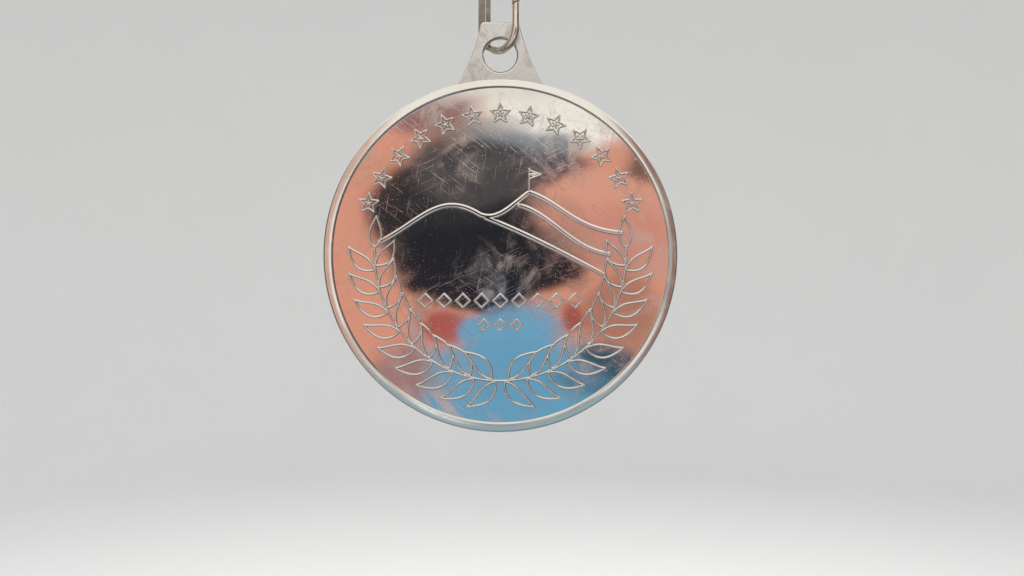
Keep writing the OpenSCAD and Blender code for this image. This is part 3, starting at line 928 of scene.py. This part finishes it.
# soft coloured room in front, which the mirror field and the raised lines pick up; places and half
# sizes are millimetres on the medal's face, where each colour is seen
room = {"radius": 0.34, "strength": 1.14, "warpScale": 16.0, "warp": 0.03, "reach": 0.97, "turns": 64,
        "base": (206, 143, 121), "patches": [
    ((-12.7, 27.4), (8.5, 4.5), 0.4, (138, 100, 98)),
    ((-7.6, 22.0), (3.5, 2.2), 0.5, (160, 140, 120)),
    ((11.4, 27.6), (17, 7.6), 0.25, (232, 228, 220)),
    ((0, 32.5), (14, 3), 0.5, (214, 208, 200)),
    ((28.2, 16.9), (2.6, 5), 0.4, (112, 84, 80)),
    ((4.5, 22.0), (13.5, 3.2), 0.3, (126, 131, 138)),
    ((1.7, 16.9), (16.5, 3.6), 0.3, (58, 62, 76)),
    ((-9.5, 7.5), (15.5, 12), 0.1, (44, 44, 48)),
    ((-1.5, -1.6), (18.6, 8.6), 0.08, (35, 36, 42)),
    ((-5.2, 16.2), (13, 6.4), 0.12, (70, 68, 70)),
    ((20.3, 10.0), (12, 5.6), 0.12, (208, 150, 130)),
    ((12.8, 6.7), (6, 4), 0.3, (188, 134, 118)),
    ((18, 1.1), (6.5, 4.5), 0.3, (184, 126, 110)),
    ((26.3, 2.0), (9, 8), 0.4, (196, 134, 118)),
    ((24, -11), (8.5, 6), 0.3, (166, 114, 96)),
    ((-11.3, -14), (6.4, 3.6), 0.25, (165, 84, 76)),
    ((14, -12.1), (2.4, 2), 0.3, (152, 78, 72)),
    ((2.4, -14.7), (10, 4.6), 0.12, (104, 156, 188)),
    ((4, -26.3), (24, 9.5), 0.18, (98, 152, 184)),
    ((-19.7, -24), (5, 5), 0.4, (150, 116, 116)),
    ((22.1, -20.3), (6, 3), 0.35, (52, 78, 94)),
    ((18, -25.4), (8, 2.2), 0.4, (70, 110, 135))]}
# the rest of the front half, beyond what the flat field sees, in metres: a pale silver ring, what the
# rim sees, dusk at the sides and a pale band high up
zones = {"silverEdge": (0.1, 0.125), "silver": (236, 234, 229), "silverShade": (150, 153, 158),
         "silverScale": 9.0, "silverCloud": (0.4, 0.62), "rimEdge": (0.215, 0.235),
         "rimAcross": (-0.14, 0.14), "rimLeft": (200, 160, 144), "rimRight": (142, 108, 97),
         "rimUp": (-0.2, -0.1), "rimLow": (140, 168, 180), "duskEdge": (0.272, 0.295),
         "duskAcross": (-0.1, 0.1), "duskLeft": (112, 104, 97), "duskRight": (84, 80, 77),
         "bandUp": (0.095, 0.128), "bandWide": (0.13, 0.2), "bandHigh": (0.2, 0.26),
         "band": (236, 232, 224)}
# the half behind: a soft grey sweep from floor to ceiling with paler and darker cards
behind = {"up": (-0.3, 0.14), "floor": (118, 120, 124), "ceiling": (232, 230, 225), "cardScale": 7.0,
          "cardEdge": (0.42, 0.6), "cardShare": 0.5, "card": (158, 156, 154), "sideEdge": (0.24, 0.33),
          "side": (92, 90, 88)}


def areaLight(name, lit):
    light = bpy.data.lights.new(name, "AREA")
    light.shape = "RECTANGLE"
    light.size, light.size_y = lit["size"]
    light.energy = lit["power"]
    light.color = lit["tint"]
    lamp = bpy.data.objects.new(name, light)
    lamp.location = lit["place"]
    lamp.rotation_euler = (Vector(lit["target"]) - lamp.location).to_track_quat("-Z", "Y").to_euler()
    lamp.visible_camera = False
    lamp.visible_glossy = lit["seen"]
    scene.collection.objects.link(lamp)


def shellHalf(name, radius, side):
    profile = [(radius * math.sin(a), radius * math.cos(a)) for a in np.linspace(0, math.pi / 2, 25)]
    profile[0] = (0, radius)
    points, faces = lathe(profile, room["turns"])
    half = addPiece(name, [(x, side * z, y) for x, y, z in points], faces, [])
    half.visible_camera = False
    half.visible_shadow = False
    return half


def makeRoom():
    radius = room["radius"]
    board = shellHalf("softRoomShell", radius, -1)
    finish = Finish("roomLight")
    values = {"Vector": finish.coords, "Scale": room["warpScale"], "Detail": 3.0}
    shift = finish.vector("SUBTRACT", finish.node("ShaderNodeTexNoise", {}, values, 1), (0.5, 0.5, 0.5))
    shift = finish.vector("MULTIPLY", shift, (room["warp"], 0.0, room["warp"]))
    bent = finish.vector("ADD", finish.coords, shift)
    x = finish.along(0, bent)
    z = finish.along(2, bent)
    # from a place on the face to where its reflection meets the shell
    grow = 1 + radius * room["reach"] / (-view["y"] - medal["thick"] * mm)
    u = (x + view["x"] * (grow - 1)) * (1 / (grow * mm))
    v = (z + view["z"] * (grow - 1)) * (1 / (grow * mm))
    shown = colour(*room["base"])
    for (px, pz), (sx, sz), soft, tint in room["patches"]:
        away = (((u - px) * (1 / sx)) ** 2 + ((v - pz) * (1 / sz)) ** 2) ** 0.5
        shown = finish.mix(1 - away.ramp(1 - soft, 1 + soft), shown, colour(*tint))
    away = (x ** 2 + z ** 2) ** 0.5
    cloud = finish.noise(zones["silverScale"], 1.0).ramp(*zones["silverCloud"])
    silver = finish.mix(cloud, colour(*zones["silver"]), colour(*zones["silverShade"]))
    shown = finish.mix(away.ramp(*zones["silverEdge"]), shown, silver)
    side = finish.mix(x.ramp(*zones["rimAcross"]), colour(*zones["rimLeft"]), colour(*zones["rimRight"]))
    side = finish.mix(z.ramp(*zones["rimUp"]), colour(*zones["rimLow"]), side)
    shown = finish.mix(away.ramp(*zones["rimEdge"]), shown, side)
    dusk = finish.mix(x.ramp(*zones["duskAcross"]), colour(*zones["duskLeft"]), colour(*zones["duskRight"]))
    shown = finish.mix(away.ramp(*zones["duskEdge"]), shown, dusk)
    narrow = 1 - x.math("ABSOLUTE").ramp(*zones["bandWide"])
    high = z.ramp(*zones["bandUp"]) * z.ramp(*zones["bandHigh"]).math("MAXIMUM", narrow)
    shown = finish.mix(high, shown, colour(*zones["band"]))
    finish.light(board, shown, room["strength"])
    board = shellHalf("softBackShell", radius, 1)
    finish = Finish("backLight")
    up = finish.along(2).ramp(*behind["up"])
    shown = finish.mix(up, colour(*behind["floor"]), colour(*behind["ceiling"]))
    cards = finish.noise(behind["cardScale"], 1.0).ramp(*behind["cardEdge"])
    shown = finish.mix(cards * behind["cardShare"], shown, colour(*behind["card"]))
    sides = finish.along(0).math("ABSOLUTE").ramp(*behind["sideEdge"])
    shown = finish.mix(sides, shown, colour(*behind["side"]))
    finish.light(board, shown, room["strength"])


makeRoom()

lights = {
    "topSoft": {"place": (0.0, -0.1, 0.9), "target": (0, 0, 0), "size": (1.0, 0.8), "power": 9.0,
                "tint": (1.0, 0.99, 0.97), "seen": False},
    "leftSoft": {"place": (-0.62, -0.28, 0.18), "target": (0, 0, 0.02), "size": (0.4, 0.6), "power": 3.0,
                 "tint": (1.0, 0.94, 0.88), "seen": True},
    "rightSoft": {"place": (0.62, -0.22, 0.2), "target": (0, 0, 0.02), "size": (0.35, 0.6), "power": 3.0,
                  "tint": (1.0, 0.96, 0.92), "seen": True},
    "backSoft": {"place": (0.1, 0.7, 0.6), "target": (0, 0, 0.02), "size": (0.8, 0.6), "power": 3.0,
                 "tint": (1, 1, 1), "seen": True}}
for name, lit in lights.items():
    areaLight(name, lit)

world = bpy.data.worlds.new("softRoom")
world.use_nodes = True
world.node_tree.nodes["Background"].inputs["Color"].default_value = studio["sky"]
world.node_tree.nodes["Background"].inputs["Strength"].default_value = studio["skyStrength"]
scene.world = world

lens = bpy.data.cameras.new("camera")
lens.lens = view["lens"]
lens.sensor_width = view["sensor"]
lens.clip_start = view["clip"]
camera = bpy.data.objects.new("camera", lens)
camera.location = (view["x"], view["y"], view["z"])
camera.rotation_euler = (math.pi / 2, 0, 0)
scene.collection.objects.link(camera)
scene.camera = camera
scene.view_settings.view_transform = "Standard"
print("studio, lights and camera made")
